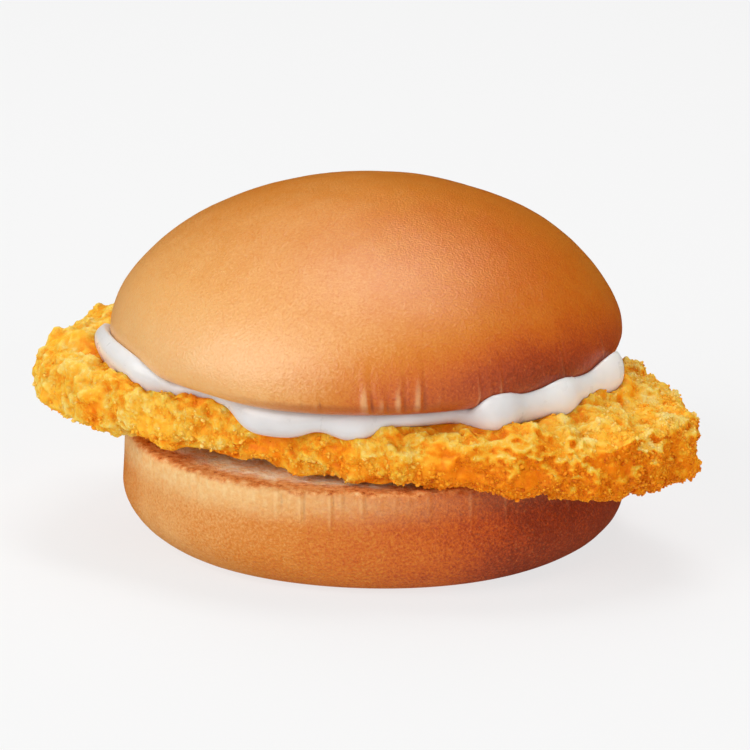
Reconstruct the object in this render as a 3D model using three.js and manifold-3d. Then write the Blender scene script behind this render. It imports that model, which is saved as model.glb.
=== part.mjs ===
// A crispy chicken burger, stacked on one upright axis: heel bun, crumbed chicken fillet, mayonnaise and
// crown bun. Millimetres, +Z up, +X to the right of the served side, which faces -Y.
// The origin is the centre of the heel bun's flat base.
import * as THREE from "three";
import { ImprovedNoise } from "three/addons/math/ImprovedNoise.js";
import Module from "manifold-3d";

// Heel bun: the lower half of the bread, a thick disc with a toasted cut face
const HEEL_HEIGHT = 21.5;
const HEEL_RADIUS = 49.3;
const HEEL_BASE_RADIUS = 41;
const HEEL_WIDEST_HEIGHT = 15;
const HEEL_LOWER_CURVE = [new THREE.Vector2(45.5, 0.8), new THREE.Vector2(HEEL_RADIUS, 6)]; // its two handles
const HEEL_RIM_ROUNDING = 1.6;
const HEEL_DISH = 0.7; // how far the toasted face sinks towards its middle
// Pressed out low on the side that bears the weight: direction and half spread in degrees, then mm
const HEEL_BULGE = { at: -12, spread: 75, out: 3.2, height: 5, depth: 9 };

// Crown bun: the domed upper half, a little wider than the heel, turned in at its cut edge
const CROWN_CENTRE = new THREE.Vector2(-0.9, 0);
const CROWN_CUT_HEIGHT = 37;
const CROWN_CUT_RADIUS = 47.5;
const CROWN_RADIUS = 51;
const CROWN_SKIRT_HEIGHT = 4; // from the cut face up to the widest ring
const CROWN_DOME_HEIGHT = 29.2; // from the widest ring up to the top
const CROWN_DOME_POWERS = { up: 1.84, out: 1.9 }; // both 2 would be an ellipse
const CROWN_BULGE = { at: 0, spread: 60, out: -0.7, height: 52, depth: 9 }; // a little flatter on its right

// Both buns: dough that has baked slightly out of round
const BUN_TURNS = 58; // sides
const DOUGH_SWELL = 0.012; // share of the radius
const DOUGH_SWELL_LENGTH = 38;
const DOUGH_SWELL_START = 12; // full from this far off the cut face

// Chicken fillet: a long uneven slab, pushed towards the served side. Its left end curls up, and its right
// end droops over the heel's edge
const FILLET_CENTRE = new THREE.Vector2(-1, -8);
const FILLET_THICKNESS = 12.8;
const FILLET_EDGE_ROUNDING = 6; // how far in from its edge it starts to round over
const FILLET_EDGE_POWER = 2.7; // 2 is a round edge, more is squarer
const FILLET_CURL = { from: -4, to: -58, lift: 4.4 };
// From and to are on the X axis, start and reach are counted from the heel's edge
const FILLET_DROOP = { from: -10, to: 20, start: 2, reach: 14, drop: 3 };
const FILLET_REST = 3.5; // how far past the heel's edge its underside stays level with the toasted face
const FILLET_TURNS = 148; // sides
// From its centre to its edge, every 22.5 degrees from the right, counterclockwise seen from above
const FILLET_REACHES = [60.5, 49, 47.5, 47, 47, 53.5, 62, 65, 66.4, 52.5, 40, 36, 40, 48.5, 59.5, 69];

// Batter crags on the fillet: lumps with creases between them, in three sizes
const CRAGS = [
  { length: 15, height: 1.3 },
  { length: 7.5, height: 1.2 },
  { length: 4, height: 0.6 },
];
const CRAG_GAIN = 2.2; // brings the ridges of the noise up to about 1
const CRAG_MEAN = 0.55;
const CRAG_LAYER_STEP = 7; // sets the three sizes apart in the noise

// Mayonnaise: a layer under the crown that bulges out past its edge in lobes
const SAUCE_REACH = 44.5; // where no lobe pushes it out
const SAUCE_LEAST_HEIGHT = 1.4;
const SAUCE_BEAD = 3; // how far in from its edge it is rounded
const SAUCE_TURNS = 116; // sides
// Each lobe: its direction and half its spread in degrees, how far out it goes, and how far its edge rises
// over the crown's cut face and sags under the fillet's top
const SAUCE_LOBES = [
  { at: -167, spread: 27, out: 9.4, rise: 3.4, sag: 0.6 },
  { at: -114, spread: 11, out: 3, rise: 0, sag: 3.8 },
  { at: -103, spread: 8, out: 2.8, rise: 0, sag: 1.4 },
  { at: -93, spread: 7, out: 3, rise: 0, sag: 2.9 },
  { at: -78, spread: 14, out: 2.6, rise: 0, sag: 0.3 },
  { at: -43, spread: 24, out: 8, rise: 2.4, sag: 0.8 },
  { at: -60, spread: 7, out: 9.4, rise: 3.2, sag: 1.1 },
  { at: -43, spread: 7, out: 9.6, rise: 3.2, sag: 1.1 },
  { at: -25, spread: 8, out: 10, rise: 4, sag: 1.1 },
  { at: 20, spread: 14, out: 3.4, rise: 0, sag: 0.5 },
  { at: 62, spread: 11, out: 1.4, rise: 0, sag: 3 },
  { at: 82, spread: 30, out: 0.4, rise: 0, sag: 1.8 },
  { at: 100, spread: 10, out: 1.8, rise: 0, sag: 3.4 },
  { at: 142, spread: 14, out: 5.5, rise: 1, sag: 0.6 },
];

const GAP = 0.35; // clearance between pieces that touch
const SAUCE_CLEARANCE = 0.3; // what is cut off the mayonnaise round the fillet and the crown
const SAUCE_SMOOTHING = 0.06; // flat runs of small faces are joined within this much
const noise = new ImprovedNoise();
const { clamp, degToRad, euclideanModulo, smoothstep } = THREE.MathUtils;
const wasm = await Module();
wasm.setup();

// Closed solid swept round the Z axis: pointAt(ring, angle) gives ring 0 to rings, from the lower pole out
// and up to the upper pole. The first and last rings are single points.
function sweptSolid(rings, turns, pointAt) {
  const points = [pointAt(0, 0)];
  for (let ring = 1; ring < rings; ring++) {
    for (let turn = 0; turn < turns; turn++) {
      points.push(pointAt(ring, (turn / turns) * 2 * Math.PI));
    }
  }
  points.push(pointAt(rings, 0));

  const last = points.length - 1;
  const indexOf = (ring, turn) => 1 + (ring - 1) * turns + (turn % turns);
  const faces = [];
  for (let turn = 0; turn < turns; turn++) {
    faces.push(0, indexOf(1, turn + 1), indexOf(1, turn));
    for (let ring = 1; ring < rings - 1; ring++) {
      const [a, b] = [indexOf(ring, turn), indexOf(ring, turn + 1)];
      const [c, d] = [indexOf(ring + 1, turn + 1), indexOf(ring + 1, turn)];
      faces.push(a, b, c, a, c, d);
    }
    faces.push(last, indexOf(rings - 1, turn), indexOf(rings - 1, turn + 1));
  }
  const geometry = new THREE.BufferGeometry().setFromPoints(points);
  geometry.setIndex(faces);
  geometry.computeVertexNormals();
  return geometry;
}

// 1 in a direction given in degrees, with a flat top, falling to 0 past its half spread.
function lobeShare(angle, { at, spread }) {
  const off = angle - degToRad(at);
  const turn = Math.atan2(Math.sin(off), Math.cos(off));
  return Math.exp(-((turn / degToRad(spread)) ** 4));
}

// Bread that follows an outline of (radius, height) points, slightly out of round except at its cut face.
function bunGeometry(outline, centre, cutHeight, bulge) {
  return sweptSolid(outline.length - 1, BUN_TURNS, (ring, angle) => {
    const { x: radius, y: height } = outline[ring];
    const away = new THREE.Vector3(Math.cos(angle), Math.sin(angle), 0);
    const place = away.clone().multiplyScalar(radius).setZ(height).divideScalar(DOUGH_SWELL_LENGTH);
    const swell = radius * DOUGH_SWELL * noise.noise(place.x, place.y, place.z);
    const level = Math.exp(-(((height - bulge.height) / bulge.depth) ** 2));
    const pressed = bulge.out * lobeShare(angle, bulge) * level * Math.min(radius / HEEL_BASE_RADIUS, 1);
    const baked = smoothstep(Math.abs(height - cutHeight), 0, DOUGH_SWELL_START);
    const grown = radius + (swell + pressed) * baked;
    return away.multiplyScalar(grown).add(new THREE.Vector3(centre.x, centre.y, height));
  });
}

function heelBun() {
  const side = new THREE.Path();
  side.moveTo(0, 0);
  side.lineTo(HEEL_BASE_RADIUS / 2, 0);
  side.lineTo(HEEL_BASE_RADIUS, 0);
  const [low, high] = HEEL_LOWER_CURVE;
  side.bezierCurveTo(low.x, low.y, high.x, high.y, HEEL_RADIUS, HEEL_WIDEST_HEIGHT);
  side.lineTo(HEEL_RADIUS, HEEL_HEIGHT - HEEL_RIM_ROUNDING);
  side.quadraticCurveTo(HEEL_RADIUS, HEEL_HEIGHT, HEEL_RADIUS - HEEL_RIM_ROUNDING, HEEL_HEIGHT);
  for (const share of [0.85, 0.6, 0.3, 0]) {
    side.lineTo(HEEL_RADIUS * share, HEEL_HEIGHT - HEEL_DISH * (1 - share ** 2));
  }
  return bunGeometry(side.getPoints(5), new THREE.Vector2(), HEEL_HEIGHT, HEEL_BULGE);
}

function crownBun() {
  const outline = [0, 0.5, 0.9].map((share) => new THREE.Vector2(CROWN_CUT_RADIUS * share, CROWN_CUT_HEIGHT));
  const skirtSteps = 4;
  for (let step = 0; step <= skirtSteps; step++) {
    const turn = (step / skirtSteps) * (Math.PI / 2);
    const radius = CROWN_CUT_RADIUS + (CROWN_RADIUS - CROWN_CUT_RADIUS) * Math.sin(turn);
    outline.push(new THREE.Vector2(radius, CROWN_CUT_HEIGHT + CROWN_SKIRT_HEIGHT * (1 - Math.cos(turn))));
  }
  const domeSteps = 13;
  for (let step = 1; step <= domeSteps; step++) {
    const up = Math.sin((step / domeSteps) * (Math.PI / 2));
    const share = (1 - Math.min(up, 1) ** CROWN_DOME_POWERS.up) ** (1 / CROWN_DOME_POWERS.out);
    const height = CROWN_CUT_HEIGHT + CROWN_SKIRT_HEIGHT + CROWN_DOME_HEIGHT * up;
    outline.push(new THREE.Vector2(CROWN_RADIUS * share, height));
  }
  return bunGeometry(outline, CROWN_CENTRE, CROWN_CUT_HEIGHT, CROWN_BULGE);
}

// Distance from the fillet's centre to its edge at an angle: a smooth curve through its named reaches.
function filletReach(angle) {
  const count = FILLET_REACHES.length;
  const turn = euclideanModulo((angle / (2 * Math.PI)) * count, count);
  const first = Math.floor(turn);
  const near = [-1, 0, 1, 2].map((step) => {
    return new THREE.Vector2(step, FILLET_REACHES[(first + step + count) % count]);
  });
  return new THREE.SplineCurve(near).getPoint((turn - first + 1) / 3).y;
}

// Height of the fillet's underside before the crags: flat on the heel, curling up on the left, and drooping
// on the right.
function filletFloor(x, y) {
  const curl = FILLET_CURL.lift * smoothstep(-x, -FILLET_CURL.from, -FILLET_CURL.to);
  const past = clamp((Math.hypot(x, y) - HEEL_RADIUS - FILLET_DROOP.start) / FILLET_DROOP.reach, 0, 1);
  const droop = FILLET_DROOP.drop * past * smoothstep(x, FILLET_DROOP.from, FILLET_DROOP.to);
  return HEEL_HEIGHT + GAP + curl - droop;
}

// Lumps with sharp creases between them, about 0 on average, in mm.
function crag(point) {
  return CRAGS.reduce((sum, { length, height }, layer) => {
    const value = noise.noise(point.x / length, point.y / length, point.z / length + CRAG_LAYER_STEP * layer);
    return sum + height * (CRAG_GAIN * Math.abs(value) - CRAG_MEAN);
  }, 0);
}

// Plan distance and direction of a point from the crown's axis.
function fromCrownAxis(x, y) {
  const [dx, dy] = [x - CROWN_CENTRE.x, y - CROWN_CENTRE.y];
  return { radius: Math.hypot(dx, dy), angle: Math.atan2(dy, dx) };
}

// The highest that the fillet may stand under the crown and just outside its edge.
function underCrown(radius) {
  return CROWN_CUT_HEIGHT - GAP + Math.max(radius - CROWN_RADIUS, 0);
}

// The mayonnaise's underside: the fillet's smooth top, lower where the crown would leave it too little room.
function sauceFloor(x, y) {
  const top = filletFloor(x, y) + FILLET_THICKNESS;
  return Math.min(top, underCrown(fromCrownAxis(x, y).radius) - SAUCE_LEAST_HEIGHT);
}

// How far the mayonnaise reaches, and how far its edge rises and sags, in a direction from the crown's axis.
function sauceEdge(angle) {
  const edge = { out: 0, rise: 0, sag: 0 };
  for (const lobe of SAUCE_LOBES) {
    for (const size in edge) {
      edge[size] = Math.max(edge[size], lobe[size] * lobeShare(angle, lobe));
    }
  }
  return { ...edge, inner: SAUCE_REACH + edge.out - SAUCE_BEAD }; // inner is where the round edge starts
}

// The fillet's rings, from the middle of its underside round its edge to the middle of its top: how far each
// is on the way to the edge's rounding, where it is on that rounding, and which way it faces.
function filletRings() {
  const edgeSteps = 8;
  const flatten = 2 / FILLET_EDGE_POWER;
  const underShares = [0, 0.45, 0.8];
  const topShares = [0.93, 0.86, 0.79, 0.71, 0.62, 0.5, 0.33, 0];
  const under = underShares.map((share) => ({ share, out: 0, up: -1, tilt: -Math.PI / 2 }));
  const top = topShares.map((share) => ({ share, out: 0, up: 1, tilt: Math.PI / 2 }));
  const edge = [];
  for (let step = 0; step <= edgeSteps; step++) {
    const tilt = (step / edgeSteps - 0.5) * Math.PI;
    const out = Math.abs(Math.cos(tilt)) ** flatten;
    edge.push({ share: 1, out, up: Math.sign(tilt) * Math.abs(Math.sin(tilt)) ** flatten, tilt });
  }
  return [...under, ...edge, ...top];
}

// The battered fillet, grown by a clearance that is 0 for the piece itself.
function filletGeometry(clearance) {
  const rings = filletRings();
  return sweptSolid(rings.length - 1, FILLET_TURNS, (ring, angle) => {
    const { share, out, up, tilt } = rings[ring];
    const reach = (filletReach(angle) - FILLET_EDGE_ROUNDING) * share + FILLET_EDGE_ROUNDING * out;
    const x = FILLET_CENTRE.x + reach * Math.cos(angle);
    const y = FILLET_CENTRE.y + reach * Math.sin(angle);
    const point = new THREE.Vector3(x, y, filletFloor(x, y) + (FILLET_THICKNESS / 2) * (1 + up));
    const outward = new THREE.Vector3(Math.cos(angle), Math.sin(angle), 0);
    const normal = outward.multiplyScalar(Math.cos(tilt)).setZ(Math.sin(tilt));
    point.addScaledVector(normal, crag(point));

    // It rests on the heel, and the mayonnaise and the crown rest on it.
    if (Math.hypot(point.x, point.y) < HEEL_RADIUS + FILLET_REST) {
      point.z = Math.max(point.z, HEEL_HEIGHT + GAP);
    }
    const { radius, angle: direction } = fromCrownAxis(point.x, point.y);
    point.z = Math.min(point.z, underCrown(radius));
    if (radius < sauceEdge(direction).inner) {
      point.z = Math.min(point.z, sauceFloor(point.x, point.y) - GAP);
    }
    return point.addScaledVector(normal, clearance);
  });
}

function toSolid(geometry) {
  const vertProperties = new Float32Array(geometry.getAttribute("position").array);
  const triVerts = geometry.getIndex().array;
  return new wasm.Manifold(new wasm.Mesh({ numProp: 3, vertProperties, triVerts }));
}

// The layer before the fillet is cut out of it: flat inside, with a round edge that sags and rises with its
// lobes.
function sauceBlank() {
  const turnedIn = CROWN_RADIUS - CROWN_CUT_RADIUS;
  const slopeStart = CROWN_CUT_RADIUS + 0.42 * turnedIn; // from here a slope clears the crown's round edge
  const floorShares = [0, 0.4, 0.75, 1];
  const beadSteps = 6;
  const topRadii = [slopeStart, CROWN_CUT_RADIUS - 0.5, 26, 0];
  const ringInset = 0.4; // the least distance between the rings on top
  return sweptSolid(floorShares.length + beadSteps + topRadii.length, SAUCE_TURNS, (ring, angle) => {
    const { inner, rise, sag } = sauceEdge(angle);
    const top = (radius) => {
      const slope = ((radius - slopeStart) / turnedIn) * CROWN_SKIRT_HEIGHT;
      return CROWN_CUT_HEIGHT - GAP + clamp(slope, 0, rise);
    };
    const place = (radius, heightAt) => {
      const x = CROWN_CENTRE.x + radius * Math.cos(angle);
      const y = CROWN_CENTRE.y + radius * Math.sin(angle);
      return new THREE.Vector3(x, y, heightAt(sauceFloor(x, y)));
    };
    if (ring < floorShares.length) {
      return place((inner - SAUCE_BEAD) * floorShares[ring], (floor) => floor);
    }
    const bead = ring - floorShares.length;
    if (bead <= beadSteps) {
      const turn = (bead / beadSteps - 0.5) * Math.PI;
      const radius = inner + SAUCE_BEAD * Math.cos(turn);
      const share = (1 + Math.sin(turn)) / 2;
      return place(radius, (floor) => (floor - sag) * (1 - share) + top(radius) * share);
    }
    const step = bead - beadSteps;
    const radius = Math.min(topRadii[step - 1], inner - ringInset * step);
    return place(radius, () => top(radius));
  });
}

function mayonnaise() {
  const fillet = toSolid(filletGeometry(SAUCE_CLEARANCE));
  const crownTop = CROWN_CUT_HEIGHT + CROWN_SKIRT_HEIGHT + CROWN_DOME_HEIGHT;
  const wider = 1 + SAUCE_CLEARANCE / CROWN_RADIUS;
  const deeper = 1 + SAUCE_CLEARANCE / (crownTop - CROWN_CUT_HEIGHT);
  const hung = toSolid(crownBun()).translate(0, 0, -crownTop);
  const crown = hung.scale([wider, wider, deeper]).translate(0, 0, crownTop);
  const layer = toSolid(sauceBlank()).subtract(fillet).subtract(crown).simplify(SAUCE_SMOOTHING);
  const [largest] = layer.decompose().sort((a, b) => b.volume() - a.volume()); // the rest are loose scraps

  const { vertProperties, triVerts } = largest.getMesh();
  const geometry = new THREE.BufferGeometry();
  geometry.setAttribute("position", new THREE.BufferAttribute(vertProperties, 3));
  geometry.setIndex(new THREE.BufferAttribute(triVerts, 1));
  geometry.computeVertexNormals();
  return geometry;
}

function piece(name, geometry, colour, roughness) {
  const material = new THREE.MeshStandardMaterial({ color: colour, roughness, metalness: 0 });
  const mesh = new THREE.Mesh(geometry, material);
  mesh.name = name;
  return mesh;
}

const burger = new THREE.Group();
burger.add(piece("heel_bun", heelBun(), 0xc97a3a, 0.7));
burger.add(piece("chicken_fillet", filletGeometry(0), 0xe9a32c, 0.6));
burger.add(piece("mayonnaise", mayonnaise(), 0xf1efe9, 0.35));
burger.add(piece("crown_bun", crownBun(), 0xd2853c, 0.6));

export default burger;
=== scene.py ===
# A crispy chicken burger, built round its solids: heel bun, crumbed fillet, mayonnaise and crown bun.
# The scene is in metres, +Z up, with the served side towards -Y. Its pieces are worked out in millimetres.
import math

import bmesh
import bpy
import numpy as np
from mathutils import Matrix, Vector, noise


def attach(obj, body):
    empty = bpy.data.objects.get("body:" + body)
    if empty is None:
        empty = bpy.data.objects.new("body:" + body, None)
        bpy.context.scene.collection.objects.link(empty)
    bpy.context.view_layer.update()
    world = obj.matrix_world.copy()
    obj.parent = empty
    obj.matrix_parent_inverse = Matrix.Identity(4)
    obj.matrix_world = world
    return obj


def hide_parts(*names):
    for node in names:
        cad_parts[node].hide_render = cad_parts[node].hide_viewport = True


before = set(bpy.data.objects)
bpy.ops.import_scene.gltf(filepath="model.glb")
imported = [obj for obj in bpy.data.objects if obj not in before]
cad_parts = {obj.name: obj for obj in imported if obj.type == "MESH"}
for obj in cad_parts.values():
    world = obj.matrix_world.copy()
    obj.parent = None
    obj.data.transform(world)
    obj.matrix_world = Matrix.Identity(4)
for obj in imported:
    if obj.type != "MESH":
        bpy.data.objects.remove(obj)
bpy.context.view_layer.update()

# The studio: a camera a metre in front of the burger and a little above it, over a wide pale table. Soft
# lights stand on the left, overhead, on the right and behind. Only the first two shine back from the food's
# skin. The others and the even pale room fill in its shade.
MM = 0.001
CAMERA_AIM = Vector((0.8, 0, 30.4)) * MM
CAMERA_DISTANCE = 1.0
CAMERA_ELEVATION = math.radians(17)
CAMERA_LENS = 240
CAMERA_NEAREST = 0.05
TABLE_SIZE = 12
TABLE_DROP = 0.3 * MM
TABLE_GREY = (0.2, 0.2, 0.2, 1)
TABLE_GLOW = 0.8
ROOM_COLOUR = (1, 1, 1, 1)
ROOM_STRENGTH = 0.12

scene = bpy.context.scene
scene.view_settings.view_transform = "Standard"

camera = bpy.data.objects.new("camera", bpy.data.cameras.new("camera"))
scene.collection.objects.link(camera)
back = Vector((0, -math.cos(CAMERA_ELEVATION), math.sin(CAMERA_ELEVATION)))
camera.location = CAMERA_AIM + CAMERA_DISTANCE * back
camera.rotation_mode = "QUATERNION"
camera.rotation_quaternion = (-back).to_track_quat("-Z", "Y")
camera.data.lens = CAMERA_LENS
camera.data.clip_start = CAMERA_NEAREST
scene.camera = camera


def softbox(name, place, size, power, gleam=True):
    """A light aimed at the burger, in metres and watts. Without gleam the skin doesn't mirror it."""
    light = bpy.data.lights.new(name, "AREA")
    light.shape = "RECTANGLE"
    light.size, light.size_y = size
    light.energy = power
    lamp = bpy.data.objects.new(name, light)
    scene.collection.objects.link(lamp)
    lamp.location = place
    lamp.visible_glossy = gleam
    lamp.rotation_mode = "QUATERNION"
    lamp.rotation_quaternion = (CAMERA_AIM - Vector(place)).to_track_quat("-Z", "Y")


softbox("light_left", (-0.93, -0.7, 0.66), (1.0, 1.0), 12.9)
softbox("light_overhead", (0.1, 0.14, 1.07), (0.6, 0.28), 4.4)
softbox("light_right", (0.85, -0.95, 0.35), (0.8, 0.8), 7.4, gleam=False)
softbox("light_back", (-0.15, 0.75, 1.0), (0.9, 0.9), 5.0, gleam=False)

room = bpy.data.worlds.new("room")
room.use_nodes = True
room.node_tree.nodes["Background"].inputs["Color"].default_value = ROOM_COLOUR
room.node_tree.nodes["Background"].inputs["Strength"].default_value = ROOM_STRENGTH
scene.world = room
room.cycles_visibility.glossy = False


def colour(red, green, blue):
    """A screen colour, 0 to 255 a channel, as the light values that a shader takes."""
    shares = [channel / 255 for channel in (red, green, blue)]
    return (*[s / 12.92 if s < 0.04045 else ((s + 0.055) / 1.055) ** 2.4 for s in shares], 1.0)


class Value:
    """A number, colour or vector in a finish. Sums on it add the nodes that work them out."""

    def __init__(self, finish, socket):
        self.finish = finish
        self.socket = socket

    def worked(self, operation, first, second):
        kinds = [side.socket.type if isinstance(side, Value) else "VALUE" for side in (first, second)]
        kind = "ShaderNodeMath" if kinds == ["VALUE", "VALUE"] else "ShaderNodeVectorMath"
        return self.finish.node(kind, {"operation": operation}, {0: first, 1: second})

    def __add__(self, other):
        return self.worked("ADD", self, other)

    def __sub__(self, other):
        return self.worked("SUBTRACT", self, other)

    def __rsub__(self, other):
        return self.worked("SUBTRACT", other, self)

    def __mul__(self, other):
        return self.worked("MULTIPLY", self, other)

    __radd__ = __add__
    __rmul__ = __mul__


class Finish:
    """A material, built up from expressions on what its nodes put out."""

    def __init__(self, name, constants):
        self.material = bpy.data.materials.new(name)
        self.material.use_nodes = True
        self.shader = self.material.node_tree.nodes["Principled BSDF"]
        for socket, value in constants.items():
            self.shader.inputs[socket].default_value = value

    def feed(self, socket, value):
        """Links a value to a socket, or sets a plain number or colour on it."""
        if isinstance(value, Value):
            self.material.node_tree.links.new(value.socket, socket)
        elif socket.type in ("VECTOR", "RGBA") and not hasattr(value, "__len__"):
            socket.default_value = [value] * len(socket.default_value)
        else:
            socket.default_value = value

    def node(self, kind, settings, inputs, output=0):
        """Adds a node: its settings first, then the values or links of its sockets, by name or number."""
        made = self.material.node_tree.nodes.new(kind)
        for setting, value in settings.items():
            if setting == "stops":
                while len(made.color_ramp.elements) < len(value):
                    made.color_ramp.elements.new(1)
                for element, (position, shade) in zip(made.color_ramp.elements, value):
                    element.position = position
                    element.color = shade
            else:
                setattr(made, setting, value)
        for place, value in inputs.items():
            self.feed(made.inputs[place], value)
        return Value(self, made.outputs[output])

    def surface(self, **inputs):
        """Feeds the shader's sockets: base_color is its Base Color, and so on."""
        for name, value in inputs.items():
            self.feed(self.shader.inputs[name.replace("_", " ").title()], value)

    def place(self):
        """Where a point of the piece is, in millimetres."""
        return self.node("ShaderNodeTexCoord", {}, {}, "Object") * (1 / MM)

    def measure(self, name):
        """A number that the piece's mesh holds at every point."""
        return self.node("ShaderNodeAttribute", {"attribute_name": name}, {}, "Fac")

    def noise(self, length, detail=2.0, rough=0.5):
        """Soft noise from 0 to 1 with spots about this many millimetres long."""
        inputs = {"Vector": self.place() * (1 / length), "Scale": 1, "Detail": detail, "Roughness": rough}
        return self.node("ShaderNodeTexNoise", {}, inputs)

    def stepped(self, value, low, high):
        """0 below low and 1 above high, with a smooth step between."""
        settings = {"interpolation_type": "SMOOTHSTEP"}
        inputs = {"Value": value, "From Min": low, "From Max": high}
        return self.node("ShaderNodeMapRange", settings, inputs)

    def shades(self, value, *stops):
        """Runs through the stops, each a position from 0 to 1 and a colour."""
        return self.node("ShaderNodeValToRGB", {"stops": stops}, {"Fac": value})

    def mixed(self, share, first, second):
        """From the first colour to the second, as share goes from 0 to 1."""
        return self.node("ShaderNodeMix", {"data_type": "RGBA"}, {0: share, 6: first, 7: second}, 2)

    def relief(self, height, distance):
        """A surface that stands up by height, 0 to 1, times a distance in millimetres."""
        return self.node("ShaderNodeBump", {}, {"Height": height, "Distance": distance * MM})


table_paint = Finish(
    "pale_table",
    {"Roughness": 0.9, "Specular IOR Level": 0.0, "Emission Strength": TABLE_GLOW},
)
table_paint.surface(base_color=TABLE_GREY, emission_color=colour(243, 243, 243))
table_mesh = bpy.data.meshes.new("table")
half = TABLE_SIZE / 2
corners = [(x, y, -TABLE_DROP) for x, y in ((-half, -half), (half, -half), (half, half), (-half, half))]
table_mesh.from_pydata(corners, [], [(0, 1, 2, 3)])
table = bpy.data.objects.new("table", table_mesh)
table.data.materials.append(table_paint.material)
scene.collection.objects.link(table)
table.visible_glossy = False

# Heel bun: the lower half of a soft wheat bun, about 100 mm across. It is baked golden on its skin, paler
# just under the cut, and its cut face is toasted on a hot plate, which leaves a crumbly caramel rim. The pale
# band under the cut is partly painted light on the left, and the skin has painted shade on the right.
HEEL_HEIGHT = 21.5
HEEL_RADIUS = 49.3
HEEL_BASE_RADIUS = 41
HEEL_WIDEST_HEIGHT = 15
HEEL_LOWER_CURVE = ((45.5, 0.8), (49.3, 6))
HEEL_RIM_ROUNDING = 1.6
HEEL_DISH = 0.7
HEEL_BULGES = [
    {"at": -12, "spread": 75, "out": 3.2, "height": 5, "depth": 9},
    {"at": -165, "spread": 45, "out": 1.1, "height": 7, "depth": 5},
]
HEEL_TURNS = 900
HEEL_CURVE_STEPS = {"side": 24, "rim": 9, "face": 25}
# How far apart the rings of points lie in mm, and where the toasted rim ends below the cut and further in
HEEL_SPACING = {"rim": 0.4, "face": 3, "side": 0.9, "base": 6}
HEEL_RIM_DEPTH = 8
HEEL_RIM_INNER_RADIUS = 38
# Pleats of skin below the cut edge: direction in degrees, then half width, length and depth in mm
HEEL_PLEATS = [
    (-110.5, 0.7, 5, 0.6),
    (-105, 0.6, 6, 0.7),
    (-98.5, 0.5, 6, 0.6),
    (-96, 0.5, 5, 0.5),
    (-91, 0.6, 5, 0.4),
    (-84, 0.5, 4, 0.3),
    (-76, 0.6, 6, 0.3),
    (-66, 0.7, 8, 0.3),
    (-57, 0.7, 9, 0.35),
    (-38, 0.9, 10, 0.3),
]
HEEL_SMALL_PLEATS = {"count": 46, "seed": 11, "depth": 0.2}
SMALL_PLEAT_WIDTHS = (0.4, 1.0)
SMALL_PLEAT_LENGTHS = (2.5, 7)
SMALL_PLEAT_DEPTHS = (0.4, 1)
# The skin swells beside each crease: how high, as a share of the crease's depth, and how many widths away
PLEAT_FOLD = {"high": 0.7, "beside": 1.5}
PLEAT_MIDDLE_STRENGTH = 0.9
PLEAT_STRENGTH_RANGE = (0.2, 1.4)
# Lumps of every kind are rows of height, length in mm and seed
PLEAT_WANDER = [(0.5, 6.0, 51), (0.12, 1.5, 52)]
PLEAT_STRENGTH = [(0.6, 3.5, 53)]
HEEL_SKIN = [(0.1, 7, 5), (0.03, 2.4, 6)]
HEEL_CRUMB = [(0.3, 2.2, 3), (0.21, 1.0, 4)]
HEEL_RAGGED = [(1, 3.5, 8), (0.8, 1.3, 9)]
HEEL_PATCHES = [(0.08, 22, 10), (0.04, 7, 12)]
# The caramel rim, the toasted middle and the pale side: where each starts and is whole, in mm of height or
# of radius, and how far its ragged line wanders
CARAMEL_RIM = {"from": HEEL_HEIGHT - 0.9, "to": HEEL_HEIGHT - 0.1, "wander": 0.45}
TOASTED_MIDDLE = {"from": 45.5, "to": 41.5, "wander": 1.6}
PALE_SIDE = {"from": 13.5, "to": 19.5, "wander": 0.5}
# The pale side is partly paler dough and partly painted light, whole on the left where the light falls; only
# this share of it stays on the right
PALE_SIDE_LEAST = 0.1
# How brown the skin is baked, from 0 to 1, with painted shade: in the middle, for each mm to the right, on
# the right, and at most. The darkening to the right is painted shade for the side away from the lights.
HEEL_BAKE_AND_SHADE = {"middle": 0.66, "each_mm": 0.0078, "right": 0.1, "most": 0.98}
# The share by which the painted shade on the right fades towards the back
HEEL_BACK_PALER = 0.65
# Zones of the skin, each fading in from one place to another in mm: along X, and to the back along Y
HEEL_ZONES = {"left": (25, -35), "right": (5, 38), "back": (-32, 5)}
DOUGH_SWELL = 0.007
DOUGH_SWELL_LENGTH = 38
DOUGH_SWELL_START = 12


def smoothstep(value, low, high):
    """0 at low and 1 at high, with a smooth step between. High may be the lower one."""
    share = np.clip((value - low) / (high - low), 0, 1)
    return share * share * (3 - 2 * share)


def band(value, at, width):
    """1 where the value is at this number, falling softly to 0 past this width on both sides."""
    return np.exp(-(((value - at) / width) ** 2))


def turn_from(angle, at):
    """How far a direction lies from another one that is given in degrees, in radians to either side."""
    off = angle - math.radians(at)
    return np.arctan2(np.sin(off), np.cos(off))


def lobe_share(angle, at, spread):
    """1 in a direction given in degrees, with a flat top, falling to 0 past its half spread."""
    return np.exp(-((turn_from(angle, at) / math.radians(spread)) ** 4))


def lumps(points, length, seed=0):
    """Smooth noise, about -1 to 1, at points in mm, with lumps about this many mm long."""
    shift = Vector((7.31, 3.17, 5.93)) * seed
    flat = points.reshape(-1, 3) / length
    values = [noise.noise(Vector(point) + shift) for point in flat.tolist()]
    return np.array(values).reshape(points.shape[:-1])


def layered(points, rows):
    """Lumps of several sizes on one another, from rows of height, length in mm and seed."""
    return sum(height * lumps(points, length, seed) for height, length, seed in rows)


def curve_points(points, steps):
    """Points along a curve through its first and last control points, pulled by the ones between."""
    shares = np.linspace(0, 1, steps)[:, None]
    level = [np.asarray(point, float) + 0 * shares for point in points]
    while len(level) > 1:
        level = [a * (1 - shares) + b * shares for a, b in zip(level, level[1:])]
    return level[0]


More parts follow.
